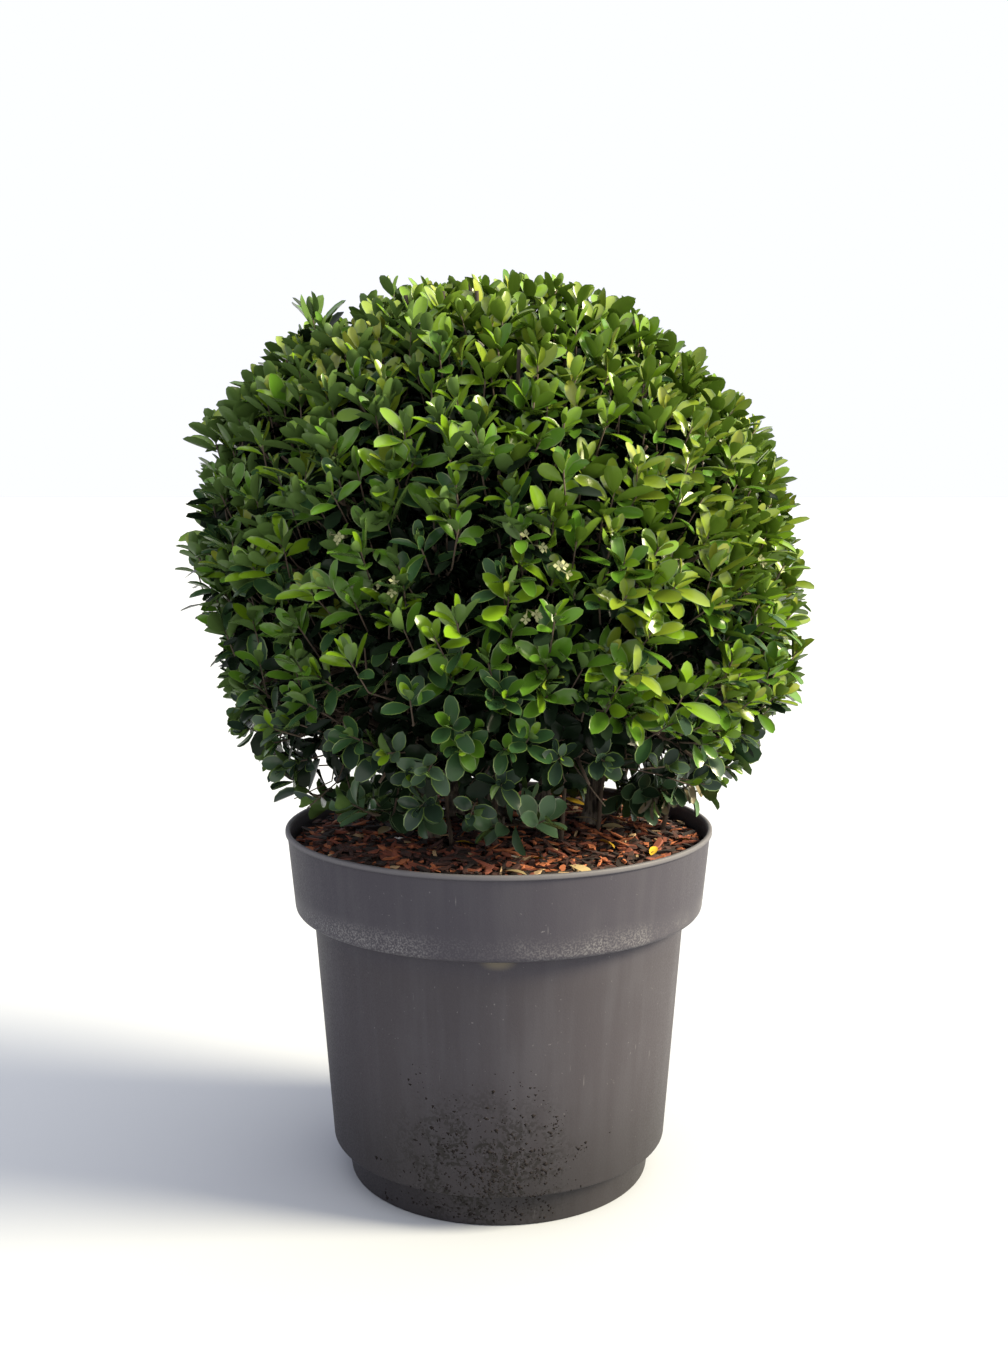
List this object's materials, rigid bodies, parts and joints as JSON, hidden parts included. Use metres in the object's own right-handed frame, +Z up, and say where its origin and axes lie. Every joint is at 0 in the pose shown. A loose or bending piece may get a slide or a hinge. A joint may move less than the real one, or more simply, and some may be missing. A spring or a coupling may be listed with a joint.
{
  "type": "potted japanese holly ball",
  "caption": "Evergreen shrub clipped to a dense leafy ball on short woody stems, planted under bark mulch in a dark grey plastic nursery pot with a wide collar.",
  "frame": {"origin": "centre of the pot's flat underside", "axes": "+Z up along the pot's axis, the plant's pictured front towards -Y, +X to its right"},
  "size_m": [0.3938, 0.3991, 0.5867],
  "materials": {
    "pot": "matte dark grey moulded plastic with fine scuffs",
    "soil": "moist dark potting soil",
    "mulch": "red-brown shredded bark",
    "bark": "grey-brown bark, finely fissured",
    "foliage": "glossy small evergreen leaves, yellow-green young tips",
    "low_foliage": "darker shaded leaves low on the plant"
  },
  "bodies": {
    "root": {"pot": "pot", "potting_soil": "soil", "bark_mulch": "mulch", "crown_ball": "foliage", "stem_main": "bark", "stem_right": "bark", "stem_left": "bark", "stem_back_left": "bark", "stem_back_right": "bark", "low_spray_left": "low_foliage", "low_spray_front_left": "low_foliage", "low_spray_front": "low_foliage", "low_spray_right": "low_foliage", "low_spray_back_right": "low_foliage", "low_spray_back_left": "low_foliage"}
  },
  "joints": []
}
